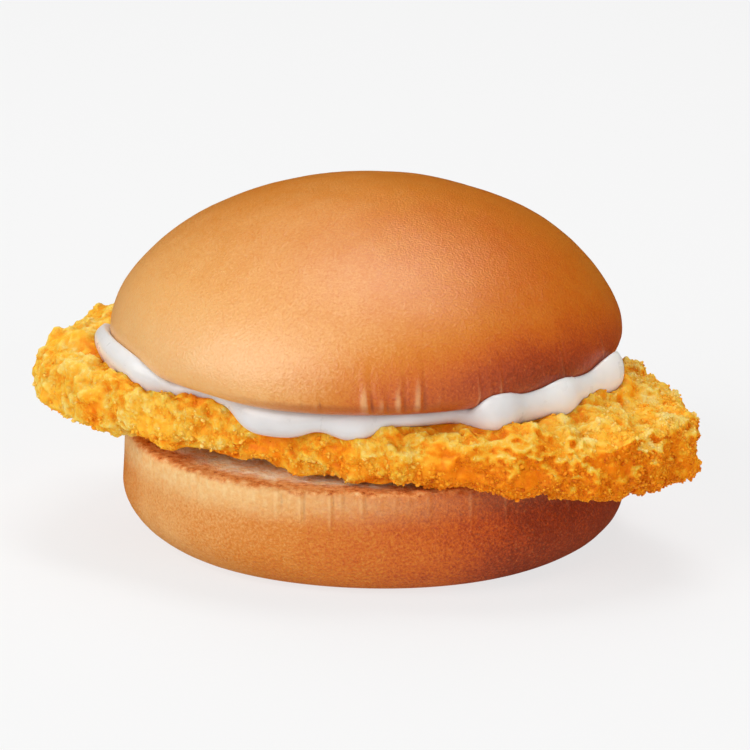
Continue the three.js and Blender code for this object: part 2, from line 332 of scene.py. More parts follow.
def spaced(points, spacing_at):
    """The same line with points as far apart as spacing_at(radius, height) says."""
    points = np.asarray(points, float)
    fine = [points[0]]
    for start, end in zip(points, points[1:]):
        length = np.linalg.norm(end - start)
        if length < 1e-6:
            continue
        steps = max(1, round(length / spacing_at(*((start + end) / 2))))
        fine += [start + (end - start) * (step + 1) / steps for step in range(steps)]
    return np.array(fine)


def turned(outline, turns):
    """Rings of points (ring, turn, xyz) round Z through an outline of radii and heights, and their angles."""
    angles = np.arange(turns) / turns * 2 * math.pi
    radius, height = outline[:, 0:1], outline[:, 1:2]
    rings = np.stack([radius * np.cos(angles), radius * np.sin(angles), height + 0 * angles], axis=-1)
    return rings, angles


def add_piece(name, points, faces):
    """A new mesh object from points in mm."""
    mesh = bpy.data.meshes.new(name)
    mesh.from_pydata((points * MM).tolist(), [], faces)
    mesh.polygons.foreach_set("use_smooth", [True] * len(mesh.polygons))
    mesh.update()
    piece = bpy.data.objects.new(name, mesh)
    scene.collection.objects.link(piece)
    return piece


def closed_skin(name, rings):
    """A closed skin through rings of points. The first and last rings are drawn in to one point each."""
    count, turns = rings.shape[:2]
    index = 1 + np.arange((count - 2) * turns).reshape(count - 2, turns)
    beside = np.roll(index, -1, axis=1)
    bands = np.stack([index[:-1], beside[:-1], beside[1:], index[1:]], axis=-1).reshape(-1, 4)
    last = 1 + index.size
    low = [(0, b, a) for a, b in zip(index[0].tolist(), beside[0].tolist())]
    high = [(last, a, b) for a, b in zip(index[-1].tolist(), beside[-1].tolist())]
    points = np.vstack([rings[0].mean(0), rings[1:-1].reshape(-1, 3), rings[-1].mean(0)])
    return add_piece(name, points, low + bands.tolist() + high)


def store(piece, name, values):
    """Keeps a number for every point of a piece, which its finish can measure."""
    if values.ndim > 1:
        values = np.concatenate([[values[0].mean()], values[1:-1].ravel(), [values[-1].mean()]])
    held = piece.data.attributes.new(name, "FLOAT", "POINT")
    held.data.foreach_set("value", values.astype(np.float32))


def out_of_round(rings, outline, angles, cut_height, bulge):
    """Moves rings outward where the dough has baked out of round, less near the cut."""
    radius, height = outline[:, 0:1], outline[:, 1:2]
    level = band(height, bulge["height"], bulge["depth"])
    pressed = bulge["out"] * lobe_share(angles, bulge["at"], bulge["spread"])
    swell = radius * DOUGH_SWELL * lumps(rings, DOUGH_SWELL_LENGTH)
    baked = smoothstep(abs(height - cut_height), 0, DOUGH_SWELL_START)
    grown = (swell + pressed * level * np.minimum(radius / HEEL_BASE_RADIUS, 1)) * baked
    away = np.stack([np.cos(angles), np.sin(angles), 0 * angles], axis=-1)
    return rings + away * grown[..., None]


def ring_normals(rings):
    """Which way the skin faces at each point of the rings."""
    around = np.roll(rings, -1, axis=1) - np.roll(rings, 1, axis=1)
    along = np.gradient(rings, axis=0)
    facing = np.cross(around, along)
    return facing / np.maximum(np.linalg.norm(facing, axis=-1, keepdims=True), 1e-9)


def pleated(rings, angles, off_cut, radius, pleats):
    """Creases between swollen folds that wander away from the cut edge, in mm outward."""
    total = np.zeros(rings.shape[:2])
    wander = layered(rings, PLEAT_WANDER)
    strength = np.clip(PLEAT_MIDDLE_STRENGTH + layered(rings, PLEAT_STRENGTH), *PLEAT_STRENGTH_RANGE)
    for at, width, length, depth in pleats:
        across = turn_from(angles, at) * radius + wander
        fade = band(off_cut, 0, length) * smoothstep(off_cut, -0.6, 1.0)
        fold = PLEAT_FOLD["high"] * band(across, -PLEAT_FOLD["beside"] * width, width)
        crease = np.exp(-abs(across / (0.6 * width)) ** 1.5)
        total = total + depth * (fold - crease) * fade * strength
    return total


def small_pleats(count, seed, depth):
    """More pleats at random directions, as rows of direction, half width, length and depth."""
    draw = np.random.default_rng(seed)
    directions = draw.uniform(-180, 180, count)
    widths = draw.uniform(*SMALL_PLEAT_WIDTHS, count)
    lengths = draw.uniform(*SMALL_PLEAT_LENGTHS, count)
    rows = zip(directions, widths, lengths)
    return [(*row, depth * draw.uniform(*SMALL_PLEAT_DEPTHS)) for row in rows]


def ragged_step(value, ragged, line):
    """0 before a line and 1 past it, where the line wanders by a ragged noise."""
    return smoothstep(value + line["wander"] * ragged, line["from"], line["to"])


heel_side = [(0, 0), (HEEL_BASE_RADIUS, 0)]
lower_curve = [(HEEL_BASE_RADIUS, 0), *HEEL_LOWER_CURVE, (HEEL_RADIUS, HEEL_WIDEST_HEIGHT)]
heel_side += curve_points(lower_curve, HEEL_CURVE_STEPS["side"]).tolist()
heel_side += [(HEEL_RADIUS, HEEL_HEIGHT - HEEL_RIM_ROUNDING)]
rim_corner = [
    (HEEL_RADIUS, HEEL_HEIGHT - HEEL_RIM_ROUNDING),
    (HEEL_RADIUS, HEEL_HEIGHT),
    (HEEL_RADIUS - HEEL_RIM_ROUNDING, HEEL_HEIGHT),
]
heel_side += curve_points(rim_corner, HEEL_CURVE_STEPS["rim"]).tolist()
for share in np.linspace(0.96, 0, HEEL_CURVE_STEPS["face"]):
    heel_side.append((HEEL_RADIUS * share, HEEL_HEIGHT - HEEL_DISH * (1 - share**2)))


def heel_spacing(radius, height):
    """Rings lie closest at the toasted rim."""
    if height > HEEL_HEIGHT - HEEL_RIM_DEPTH:
        return HEEL_SPACING["rim"] if radius > HEEL_RIM_INNER_RADIUS else HEEL_SPACING["face"]
    return HEEL_SPACING["side"] if radius > HEEL_BASE_RADIUS - 2 else HEEL_SPACING["base"]


heel_outline = spaced(heel_side, heel_spacing)
heel_rings, heel_angles = turned(heel_outline, HEEL_TURNS)
for bulge in HEEL_BULGES:
    heel_rings = out_of_round(heel_rings, heel_outline, heel_angles, HEEL_HEIGHT, bulge)
heel_out = ring_normals(heel_rings)
heel_radii = heel_outline[:, 0:1]
below_cut = HEEL_HEIGHT - heel_outline[:, 1:2]
on_side = smoothstep(heel_radii, HEEL_RADIUS - 4, HEEL_RADIUS - 0.5)
all_heel_pleats = HEEL_PLEATS + small_pleats(**HEEL_SMALL_PLEATS)
heel_pleats = pleated(heel_rings, heel_angles, below_cut, HEEL_RADIUS, all_heel_pleats) * on_side
at_rim = band(heel_radii, HEEL_RADIUS - 1.2, 1.5) * band(below_cut, 0, 1.2)
on_face = smoothstep(-below_cut, -HEEL_DISH - 0.2, -HEEL_DISH * 0.05) * (heel_radii < HEEL_RADIUS - 1)
heel_rise = layered(heel_rings, HEEL_SKIN) + heel_pleats
heel_rise = heel_rise + layered(heel_rings, HEEL_CRUMB) * np.maximum(at_rim, 0.6 * on_face)
on_table = smoothstep(heel_outline[:, 1:2], 0, 2.5)
heel_rings = heel_rings + heel_out * (heel_rise * on_table)[..., None]

heel = closed_skin("heel_bread", heel_rings)
heel_x, heel_y, heel_z = np.moveaxis(heel_rings, -1, 0)
ragged = layered(heel_rings, HEEL_RAGGED)
inner_face = ragged_step(np.hypot(heel_x, heel_y), ragged, TOASTED_MIDDLE) * (heel_z > HEEL_HEIGHT / 2)
# Paler under the cut, with painted light making it strongest on the left
pale_and_lit_share = PALE_SIDE_LEAST + (1 - PALE_SIDE_LEAST) * smoothstep(heel_x, *HEEL_ZONES["left"])
store(heel, "toasted", ragged_step(heel_z, ragged, CARAMEL_RIM))
store(heel, "inner_face", inner_face)
store(heel, "pale", ragged_step(heel_z, ragged, PALE_SIDE) * pale_and_lit_share)
store(heel, "pleat", heel_pleats)
# Painted shade darkens the skin to the right, most at the front, over its baked brown and patches
to_front = 1 - HEEL_BACK_PALER * smoothstep(heel_y, *HEEL_ZONES["back"])
painted_right_shade = HEEL_BAKE_AND_SHADE["each_mm"] * heel_x + HEEL_BAKE_AND_SHADE["right"] * smoothstep(heel_x, *HEEL_ZONES["right"])
heel_bake_and_shade = HEEL_BAKE_AND_SHADE["middle"] + painted_right_shade * to_front + layered(heel_rings, HEEL_PATCHES)
store(heel, "bake", np.minimum(heel_bake_and_shade, HEEL_BAKE_AND_SHADE["most"]))

BREAD_SHADES = [
    (0.0, colour(240, 192, 128)),
    (0.25, colour(237, 172, 98)),
    (0.5, colour(220, 130, 32)),
    (0.7, colour(208, 97, 2)),
    (0.85, colour(180, 67, 0)),
    (1.0, colour(138, 45, 0)),
]
# How much the skin's colour changes in soft patches, and how strongly its flecks, folds and creases show. The
# folds are partly paler dough and partly painted light on their ridges; the creases are painted shade.
BREAD_MOTTLE = 0.14
BREAD_FLECK = {"share": 0.12, "shade": colour(250, 200, 120)}
BREAD_FOLD_PALE_AND_LIT = {"share": 0.5, "shade": colour(246, 196, 134)}
PAINTED_CREASE_SHADE = {"share": 0.45, "shade": colour(176, 80, 26)}
bread_constants = {
    "Roughness": 0.55,
    "Specular IOR Level": 0.58,
    "Subsurface Weight": 0.05,
    "Subsurface Radius": (1.0, 0.4, 0.1),
    "Subsurface Scale": 1.2 * MM,
}


def bread_skin(finish, coarse):
    """Baked skin: its colour with pores and flecks, painted light on folds and painted shade in creases, its
    fine grain, and where it is baked dry.
    """
    bake = finish.measure("bake")
    creases = finish.measure("pleat")
    mottle = finish.noise(5.0, detail=4) - 0.5
    grain = finish.noise(0.5, detail=3, rough=0.65)
    flecks = finish.stepped(finish.noise(0.45), 0.6, 0.75)
    # Painted light on the pleats' folds and painted shade in their creases
    folds = finish.stepped(creases, 0.05, 0.35)
    hollows = finish.stepped(creases * -1, 0.08, 0.4)
    tone = finish.shades(bake + mottle * BREAD_MOTTLE + (grain - 0.5) * coarse, *BREAD_SHADES)
    tone = finish.mixed(flecks * BREAD_FLECK["share"], tone, BREAD_FLECK["shade"])
    tone = finish.mixed(folds * BREAD_FOLD_PALE_AND_LIT["share"], tone, BREAD_FOLD_PALE_AND_LIT["shade"])
    tone = finish.mixed(hollows * PAINTED_CREASE_SHADE["share"], tone, PAINTED_CREASE_SHADE["shade"])
    return tone, grain, finish.stepped(bake, 0.55, 0.8)


heel_finish = Finish("heel_bread", bread_constants)
heel_tone, heel_grain, heel_dry = bread_skin(heel_finish, coarse=0.7)
cream = heel_finish.shades(
    heel_finish.noise(1.1, detail=3),
    (0.3, colour(246, 190, 116)),
    (0.7, colour(255, 224, 160)),
)
caramel = heel_finish.shades(
    heel_finish.noise(1.4, detail=5, rough=0.7),
    (0.32, colour(158, 68, 28)),
    (0.42, colour(220, 130, 58)),
    (0.54, colour(242, 170, 98)),
    (0.68, colour(252, 206, 146)),
)
toast = heel_finish.shades(
    heel_finish.noise(1.6, detail=5, rough=0.65),
    (0.26, colour(222, 134, 70)),
    (0.36, colour(255, 220, 154)),
    (0.56, colour(255, 246, 214)),
)
heel_tone = heel_finish.mixed(heel_finish.measure("pale") * 0.7, heel_tone, cream)
heel_tone = heel_finish.mixed(heel_finish.measure("toasted"), heel_tone, caramel)
heel_tone = heel_finish.mixed(heel_finish.measure("inner_face"), heel_tone, toast)
heel_pores = heel_finish.noise(0.9, detail=3)
heel_rough = heel_pores * 0.2 + heel_finish.measure("inner_face") * 0.25 + heel_dry * 0.05 + 0.4
heel_bump = heel_finish.relief(heel_grain + heel_pores * 1.2, distance=0.3)
heel_finish.surface(base_color=heel_tone, roughness=heel_rough, normal=heel_bump)
heel.data.materials.append(heel_finish.material)
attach(heel, "root")
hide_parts("heel_bun")

# Chicken fillet: a long piece of breast in a thick puffed batter, fried golden. It lies on the heel, pushed
# towards the served side, and sticks out past the bread at both ends. The batter is one crust with the meat.
FILLET_VOXEL = 0.38
FILLET_SMOOTHINGS = 14
# The part of the fillet that the bread hides, and the share of its triangles that is kept
BURIED_RADIUS = 42
BURIED_KEPT = 0.51
CROWN_CENTRE = np.array((-0.9, 0.0))
CROWN_CUT_HEIGHT = 37
# The batter's puffs, large to small: how far apart they are, how far their rows are bent and how high they
# stand in mm, and their share in how pale the tops are fried
BATTER_PUFFS = [
    {"apart": 6.5, "bent": 2.0, "high": 1.2, "share": 0.5},
    {"apart": 3.0, "bent": 1.0, "high": 0.6, "share": 0.3},
    {"apart": 1.5, "bent": 0.5, "high": 0.12, "share": 0.2},
]
PUFF_LEVEL = 0.6
PUFF_RADIUS = 0.75
BATTER_WARP_SEEDS = (21, 22, 23)
FLAKE_HEIGHT = 0.5
CRUMB_HEIGHT = 0.18
FLAKE_LEVEL = 0.34
# Creases across the batter, each from one point to another in mm, darkened with painted shade
BATTER_CREASES = [((-65, -6), (-52, -14.5)), ((-50, -30), (-38, -37))]
CREASE_DEPTH = 1.3
CREASE_WIDTH = 1.1
# The batter stays flat under the sauce and where it lies on the heel, each with a step in mm at its edge
FLAT_UNDER_SAUCE = (-3.2, -0.8)
FLAT_ON_HEEL = (47, 50)
# A swell of batter along the foot of the sauce's right lobe
ROPE_FOOT = {"at": -28, "spread": 22, "high": 1.3, "past": 0.6, "width": 1.5}
# Zones along the fillet, each fading in from one place to another in mm along X
FILLET_ZONES = {"middle": (-50, -15), "right": (-5, 35), "end": (45, 62)}
# How dark the crust is fried, from 0 to 1: first on the left, then what every zone and form adds to that.
# Much of it is painted light and shade: the tops paler, the right partly darker with painted shade, and
# painted shade in the hollows between puffs, in the creases, on the undersides and by the sauce under the
# crown.
FRIED_AND_SHADE = {
    "left": 0.2,
    "middle": 0.1,
    "right": 0.64,
    "end": -0.05,
    "top": -0.02,
    "right_top": -0.71,
    "hollows": 0.35,
    "flakes": -0.2,
    "crumbs": -0.14,
    "plain": 0.2,
    "creases": 0.5,
    "shade_by_sauce": 0.15,
    "below": 0.15,
}
FRIED_PATCHES = [(0.14, 10, 31), (0.16, 4, 32)]
FRIED_RANGE = (0.05, 0.8)
CREST_LEVEL = 0.62
SAUCE_REACH = 44.5
SAUCE_LOBES = [
    {"at": -167, "spread": 27, "out": 9.8, "rise": 4.2, "sag": 0.6},
    {"at": -114, "spread": 11, "out": 3, "rise": 0, "sag": 3.8},
    {"at": -103, "spread": 8, "out": 2.8, "rise": 0, "sag": 1.4},
    {"at": -93, "spread": 7, "out": 3, "rise": 0, "sag": 2.9},
    {"at": -78, "spread": 14, "out": 2.6, "rise": 0, "sag": 0.3},
    {"at": -43, "spread": 24, "out": 8, "rise": 2.4, "sag": 0.8},
    {"at": -60, "spread": 7, "out": 9.4, "rise": 3.2, "sag": 1.1},
    {"at": -43, "spread": 7, "out": 9.6, "rise": 3.2, "sag": 1.1},
    {"at": -24, "spread": 8, "out": 10.2, "rise": 4.4, "sag": 0.5},
    {"at": 20, "spread": 14, "out": 3.4, "rise": 0, "sag": 0.5},
    {"at": 62, "spread": 11, "out": 1.4, "rise": 0, "sag": 3},
    {"at": 82, "spread": 30, "out": 0.4, "rise": 0, "sag": 1.8},
    {"at": 100, "spread": 10, "out": 1.8, "rise": 0, "sag": 3.4},
    {"at": 142, "spread": 14, "out": 5.5, "rise": 1, "sag": 0.6},
]


def sauce_edge(angles, size):
    """How far out the sauce's lobes reach in each direction, or how high they rise or how low they sag."""
    sizes = [lobe[size] * lobe_share(angles, lobe["at"], lobe["spread"]) for lobe in SAUCE_LOBES]
    return np.max(sizes, axis=0)


def reworked(piece, kind, settings):
    """Applies one modifier to a piece."""
    modifier = piece.modifiers.new(kind.lower(), kind)
    for setting, value in settings.items():
        setattr(modifier, setting, value)
    graph = bpy.context.evaluated_depsgraph_get()
    done = bpy.data.meshes.new_from_object(piece.evaluated_get(graph))
    piece.modifiers.clear()
    old = piece.data
    piece.data = done
    bpy.data.meshes.remove(old)


def mesh_points(piece):
    """The piece's points in mm and the way each faces."""
    points = np.empty(len(piece.data.vertices) * 3)
    facing = np.empty(len(piece.data.vertices) * 3)
    piece.data.vertices.foreach_get("co", points)
    piece.data.vertices.foreach_get("normal", facing)
    return points.reshape(-1, 3) / MM, facing.reshape(-1, 3)


def set_points(piece, points):
    """Moves the piece's points to these places in mm."""
    piece.data.vertices.foreach_set("co", (points * MM).ravel())
    piece.data.update()


def puffs(points, apart, seed):
    """Round lumps packed side by side, this many mm apart: 1 at their tops, 0 in the creases between."""
    shift = Vector((5.17, 9.41, 2.63)) * seed
    tops = [noise.voronoi(Vector(point) + shift)[0] for point in (points / apart).tolist()]
    near = np.array([distances[0] for distances in tops])
    return np.clip(1 - (near / PUFF_RADIUS) ** 2, 0, 1)


fillet = bpy.data.objects.new("fried_fillet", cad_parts["chicken_fillet"].data.copy())
scene.collection.objects.link(fillet)
reworked(fillet, "REMESH", {"mode": "VOXEL", "voxel_size": FILLET_VOXEL * MM, "use_smooth_shade": True})
reworked(fillet, "SMOOTH", {"factor": 0.5, "iterations": FILLET_SMOOTHINGS})
points, facing = mesh_points(fillet)
buried = (np.hypot(*(points[:, :2] - CROWN_CENTRE).T) < BURIED_RADIUS) & (abs(facing[:, 2]) > 0.5)
fillet.vertex_groups.new(name="buried").add(np.flatnonzero(buried).tolist(), 1, "REPLACE")
thinned = {"ratio": BURIED_KEPT, "vertex_group": "buried", "vertex_group_factor": 10}
reworked(fillet, "DECIMATE", thinned)

points, facing = mesh_points(fillet)
warps = [layered(points, [(1, 4, seed), (0.5, 1.7, seed + 5)]) for seed in BATTER_WARP_SEEDS]
warp = np.stack(warps, axis=-1)
batter = np.zeros(len(points))
crest = np.zeros(len(points))
for seed, size in enumerate(BATTER_PUFFS, 1):
    tops = puffs(points + size["bent"] * warp, size["apart"], seed)
    batter = batter + size["high"] * (tops - PUFF_LEVEL)
    crest = crest + size["share"] * tops
flakes = smoothstep(lumps(points + warp, 2.6, 26), -0.05, 0.3)
crumbs = smoothstep(lumps(points + 0.5 * warp, 1.3, 27), 0, 0.3)
plain = smoothstep(lumps(points, 8, 28), 0.0, 0.3)
flaky = FLAKE_HEIGHT * flakes + CRUMB_HEIGHT * crumbs - FLAKE_LEVEL
batter = batter + flaky * (1 - 0.75 * plain)
creased = np.zeros(len(points))
for start, end in np.array(BATTER_CREASES):
    along = (points[:, :2] - start) @ (end - start) / np.sum((end - start) ** 2)
    nearest = start + np.clip(along, 0, 1)[:, None] * (end - start)
    aside = np.linalg.norm(points[:, :2] + 0.5 * warp[:, :2] - nearest, axis=1)
    creased = np.maximum(creased, band(aside, 0, CREASE_WIDTH) * (facing[:, 2] > 0))
batter = batter - CREASE_DEPTH * creased

from_crown = points[:, :2] - CROWN_CENTRE
sauce_direction = np.arctan2(from_crown[:, 1], from_crown[:, 0])
past_sauce = np.hypot(*from_crown.T) - SAUCE_REACH - sauce_edge(sauce_direction, "out")
under_sauce = smoothstep(facing[:, 2], 0.1, 0.6) * (1 - smoothstep(past_sauce, *FLAT_UNDER_SAUCE))
over_heel = 1 - smoothstep(np.hypot(points[:, 0], points[:, 1]), *FLAT_ON_HEEL)
on_heel = smoothstep(-facing[:, 2], 0.6, 0.95) * over_heel
rope_foot = lobe_share(sauce_direction, ROPE_FOOT["at"], ROPE_FOOT["spread"])
rope_foot = rope_foot * band(past_sauce, ROPE_FOOT["past"], ROPE_FOOT["width"]) * (facing[:, 2] > 0)
batter = batter + ROPE_FOOT["high"] * rope_foot
set_points(fillet, points + facing * (batter * (1 - under_sauce) * (1 - on_heel))[:, None])

points, facing = mesh_points(fillet)
right, upward = points[:, 0], facing[:, 2]
to_right = smoothstep(right, *FILLET_ZONES["right"])
on_top = smoothstep(upward + 0.2 * lumps(points, 5, 33), -0.2, 0.7)
shade_by_sauce = 1 - smoothstep(past_sauce, 0, 3)
# Fried colour with painted light on the tops and painted shade on the right, in hollows and creases, below
# and by the sauce
fried = FRIED_AND_SHADE["left"] + FRIED_AND_SHADE["right"] * to_right
fried = fried + FRIED_AND_SHADE["middle"] * smoothstep(right, *FILLET_ZONES["middle"])
fried = fried + FRIED_AND_SHADE["end"] * smoothstep(right, *FILLET_ZONES["end"])
fried = fried + (FRIED_AND_SHADE["top"] + FRIED_AND_SHADE["right_top"] * to_right + FRIED_AND_SHADE["shade_by_sauce"] * shade_by_sauce) * on_top
fried = fried + FRIED_AND_SHADE["below"] * smoothstep(-upward, 0.3, 0.9)
fried = fried + FRIED_AND_SHADE["hollows"] * (CREST_LEVEL - crest) + layered(points, FRIED_PATCHES)
fried = fried + FRIED_AND_SHADE["flakes"] * (flakes - 0.5) * (1 - plain) + FRIED_AND_SHADE["crumbs"] * (crumbs - 0.5)
fried = fried + FRIED_AND_SHADE["plain"] * plain + FRIED_AND_SHADE["creases"] * creased
fried = np.clip(fried, *FRIED_RANGE)
store(fillet, "fried", fried)
store(fillet, "flaky", 1 - 0.7 * plain)

BATTER_SHADES = [
    (0.0, colour(255, 219, 132)),
    (0.2, colour(255, 204, 92)),
    (0.4, colour(255, 186, 54)),
    (0.6, colour(252, 158, 26)),
    (0.8, colour(238, 132, 10)),
    (1.0, colour(200, 88, 2)),
]
batter_finish = Finish(
    "fried_batter",
    {
        "Specular IOR Level": 0.2,
        "Subsurface Weight": 0.8,
        "Subsurface Radius": (1.0, 0.8, 0.55),
        "Subsurface Scale": 1.2 * MM,
    },
)
batter_spots = batter_finish.noise(1.8, detail=4, rough=0.65)
batter_grain = batter_finish.noise(0.55, detail=4, rough=0.7)
batter_chips = batter_finish.stepped(batter_finish.noise(0.8, detail=4, rough=0.6), 0.5, 0.6)
batter_flaky = batter_finish.measure("flaky")
batter_change = (batter_spots - 0.5) * 0.5 + (batter_grain - 0.5) * 0.4 - (batter_chips - 0.4) * 0.16
batter_level = batter_finish.measure("fried") + batter_change * batter_flaky
batter_tone = batter_finish.shades(batter_level, *BATTER_SHADES)
batter_height = (batter_grain + batter_chips * 0.5 + batter_spots * 0.5) * batter_flaky
batter_bump = batter_finish.relief(batter_height, distance=0.28)
batter_finish.surface(base_color=batter_tone, roughness=batter_grain * 0.5 + 0.28, normal=batter_bump)
fillet.data.materials.clear()
fillet.data.materials.append(batter_finish.material)
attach(fillet, "root")
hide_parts("chicken_fillet")

# Crumb grains: bits of dry crumb, from a fifth of a millimetre to one and a half across, fried onto the
# batter. They lie thickest along the fillet's lower edge and on its right end.
GRAIN_SEED = 5
GRAIN_SIZES = [{"count": 2000, "radii": (0.25, 0.45)}, {"count": 6000, "radii": (0.13, 0.26)}]
GRAIN_STRETCHES = (0.5, 1.5)
GRAIN_ROUGHNESS = (0.7, 1.25)
GRAIN_RAISED = 0.1
GRAIN_TINTS = (-0.24, 0.16)
# How likely a grain is everywhere, and what the low edge, the right end and some patches add to that. On the
# left only a share of the grains stays
GRAIN_CHANCES = {"everywhere": 0.03, "low_edge": 1.5, "right_end": 0.7, "patches": 0.3}
GRAIN_LEFT_SHARE = 0.25
GRAIN_ZONES = {"right_end": (30, 60), "off_left": (-55, -15)}


def grain_form():
    """The points and faces of one ball of triangles, 1 mm in radius."""
    ball = bmesh.new()
    bmesh.ops.create_icosphere(ball, subdivisions=1, radius=1)
    corners = np.array([vertex.co[:] for vertex in ball.verts])
    faces = np.array([[vertex.index for vertex in face.verts] for face in ball.faces])
    ball.free()
    return corners, faces


def scattered(draw, places, facing, chances, size):
    """Grains of one size at random places, each out of shape. Gives points, faces and each point's place."""
    corners, faces = grain_form()
    count = size["count"]
    chosen = draw.choice(len(places), count, replace=False, p=chances / chances.sum())
    radii = draw.uniform(*size["radii"], (count, 1, 1)) * draw.uniform(*GRAIN_STRETCHES, (count, 1, 3))
    rough = corners[None] * draw.uniform(*GRAIN_ROUGHNESS, (count, len(corners), 1))
    turn = np.linalg.qr(draw.normal(size=(count, 3, 3)))[0]
    grains = np.einsum("gij,gpj->gpi", turn, rough * radii)
    raised = facing[chosen] * radii[:, 0].mean(-1, keepdims=True) * GRAIN_RAISED
    grains = grains + (places[chosen] + raised)[:, None]
    joined = faces[None] + len(corners) * np.arange(count)[:, None, None]
    return grains.reshape(-1, 3), joined.reshape(-1, 3), np.repeat(chosen, len(corners))


draw = np.random.default_rng(GRAIN_SEED)
outside = np.where(upward > 0.2, smoothstep(past_sauce, -0.5, 0.8), 1 - on_heel)
low_edge = smoothstep(-upward, -0.25, 0.5) * (upward > -0.95)
chances = GRAIN_CHANCES["everywhere"] + GRAIN_CHANCES["low_edge"] * low_edge
chances = chances + GRAIN_CHANCES["right_end"] * smoothstep(right, *GRAIN_ZONES["right_end"])
chances = chances + GRAIN_CHANCES["patches"] * smoothstep(lumps(points, 9, 41), -0.1, 0.35)
off_left = smoothstep(right, *GRAIN_ZONES["off_left"])
chances = outside * chances * (GRAIN_LEFT_SHARE + (1 - GRAIN_LEFT_SHARE) * off_left)
parts = [scattered(draw, points, facing, chances, size) for size in GRAIN_SIZES]
grain_points = np.vstack([part[0] for part in parts])
starts = np.cumsum([0] + [len(part[0]) for part in parts[:-1]])
grain_faces = np.vstack([part[1] + start for part, start in zip(parts, starts)])
grains = add_piece("crumb_grains", grain_points, grain_faces.tolist())
# Each grain takes the crust's level where it sits, painted light and shade included, with a random change
grain_tint = fried + draw.uniform(*GRAIN_TINTS, len(fried))
store(grains, "tint", grain_tint[np.concatenate([part[2] for part in parts])])

grain_finish = Finish(
    "crumb_grains",
    {
        "Specular IOR Level": 0.2,
        "Subsurface Weight": 0.2,
        "Subsurface Radius": (1.0, 0.8, 0.5),
        "Subsurface Scale": 0.8 * MM,
    },
)
grain_spots = grain_finish.noise(0.5, detail=3)
grain_level = grain_finish.measure("tint") + (grain_spots - 0.5) * 0.5
grain_finish.surface(
    base_color=grain_finish.shades(grain_level, *BATTER_SHADES),
    roughness=grain_spots * 0.4 + 0.35,
    normal=grain_finish.relief(grain_finish.noise(0.25), distance=0.08),
)
grains.data.materials.append(grain_finish.material)
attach(grains, "root")

# Mayonnaise: a thick white sauce, spooned onto the fillet and pressed out past the crown in soft lobes. It
# is smooth and glossy, rounds over at its edge, and sinks a little into the crust below.
SAUCE_LEAST_HEIGHT = 1.4
SAUCE_BEAD = 3
SAUCE_TURNS = 720
SAUCE_SINK = 0.9
SAUCE_PRESS = 0.5
SAUCE_FLOOR_SHARES = (0, 0.4, 0.75, 0.9, 1)
SAUCE_BEAD_RINGS = 25
SAUCE_LOBE_SOFTENING = 5
# Where the sauce's top starts to rise round the crown's turned-in edge, as a share of that edge's width
SAUCE_SLOPE_SHARE = 0.42
SAUCE_TOP_RADIUS = 26
# Where the sauce is painted whiter with painted light, from one place to another in mm along X, and how much
# so
LIT_ON_RIGHT = {"step": (20, 46), "share": 1}
LIT_ON_LEFT = {"step": (-30, -48), "share": 0.35}
CROWN_RADIUS = 51
CROWN_CUT_RADIUS = 47.5
CROWN_SKIRT_HEIGHT = 4
CROWN_TUCK = {"at": -148, "spread": 27, "up": 1.1}
FILLET_THICKNESS = 12.8
FILLET_CURL = {"from": -4, "to": -58, "lift": 4.4}
FILLET_DROOP = {"from": -10, "to": 20, "start": 2, "reach": 14, "drop": 3}
GAP = 0.35


def sauce_floor(x, y):
    """The height of the fillet's smooth top, lower where the crown would leave the sauce too little room."""
    curl = FILLET_CURL["lift"] * smoothstep(-x, -FILLET_CURL["from"], -FILLET_CURL["to"])
    past = np.hypot(x, y) - HEEL_RADIUS - FILLET_DROOP["start"]
    drooping = np.clip(past / FILLET_DROOP["reach"], 0, 1)
    droop = FILLET_DROOP["drop"] * drooping * smoothstep(x, FILLET_DROOP["from"], FILLET_DROOP["to"])
    top = HEEL_HEIGHT + GAP + curl - droop + FILLET_THICKNESS
    radius = np.hypot(x - CROWN_CENTRE[0], y - CROWN_CENTRE[1])
    under_crown = CROWN_CUT_HEIGHT - GAP + np.maximum(radius - CROWN_RADIUS, 0)
    return np.minimum(top, under_crown - SAUCE_LEAST_HEIGHT)


def softened(values, reach):
    """Values in a ring, each averaged with its neighbours."""
    weights = np.exp(-((np.arange(-3 * reach, 3 * reach + 1) / reach) ** 2))
    wrapped = np.concatenate([values[-3 * reach:], values, values[: 3 * reach]])
    return np.convolve(wrapped, weights / weights.sum(), "valid")


sauce_angles = np.arange(SAUCE_TURNS) / SAUCE_TURNS * 2 * math.pi
edge = {}
for size in ("out", "rise", "sag"):
    edge[size] = softened(sauce_edge(sauce_angles, size), SAUCE_LOBE_SOFTENING)
inner = SAUCE_REACH + edge["out"] - SAUCE_BEAD
turned_in = CROWN_RADIUS - CROWN_CUT_RADIUS
slope_start = CROWN_CUT_RADIUS + SAUCE_SLOPE_SHARE * turned_in


def sauce_ring(radius, height_at):
    """One ring of the sauce, from a radius for each direction and the height over the floor there."""
    x = CROWN_CENTRE[0] + radius * np.cos(sauce_angles)
    y = CROWN_CENTRE[1] + radius * np.sin(sauce_angles)
    return np.stack([x, y, height_at(sauce_floor(x, y))], axis=-1)


def sauce_top(radius):
    """How high the sauce stands at a radius in each direction, up against the crown's underside."""
    tucked = CROWN_TUCK["up"] * lobe_share(sauce_angles, CROWN_TUCK["at"], CROWN_TUCK["spread"])
    slope = (radius - slope_start + 0.7 * tucked) / turned_in * CROWN_SKIRT_HEIGHT
    return CROWN_CUT_HEIGHT + SAUCE_PRESS + tucked + np.clip(slope, 0, edge["rise"])


